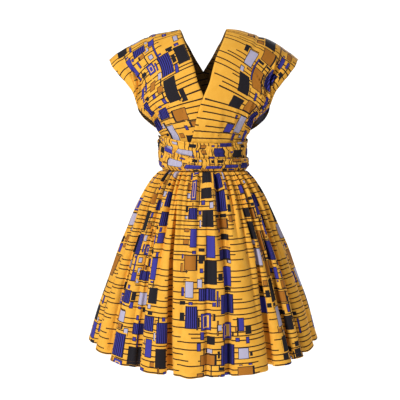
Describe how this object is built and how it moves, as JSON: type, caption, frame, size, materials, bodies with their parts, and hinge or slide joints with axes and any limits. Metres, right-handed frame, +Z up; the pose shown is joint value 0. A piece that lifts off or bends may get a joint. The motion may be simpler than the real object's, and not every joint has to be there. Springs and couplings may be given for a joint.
{
  "type": "multiway wrap dress with a gathered skirt, as worn and with no wearer",
  "caption": "Knee-length wrap dress held in its worn shape: gathered skirt, crossed straps that form cap sleeves, and ruched wraps tied at the back",
  "frame": {"origin": "middle of the wearer's waist, level with the seam between the waistband and the skirt", "axes": "+Z up; the front of the dress faces -Y; +X is the wearer's left"},
  "size_m": [0.6646, 0.5693, 0.9455],
  "materials": {
    "skirt_cotton": "crisp plain-weave cotton, printed on both sides",
    "strap_cotton": "crisp plain-weave cotton, printed on both sides",
    "wrap_cotton": "ruched plain-weave cotton, printed on both sides",
    "waistband_cotton": "elasticated casing of plain-weave cotton"
  },
  "bodies": {
    "root": {"skirt_front": "skirt_cotton", "skirt_back": "skirt_cotton", "waistband": "waistband_cotton", "strap_left": "strap_cotton", "strap_right": "strap_cotton", "wrap_left": "wrap_cotton", "wrap_right": "wrap_cotton", "knot": "wrap_cotton", "tail_left": "wrap_cotton", "tail_right": "wrap_cotton"}
  },
  "joints": []
}
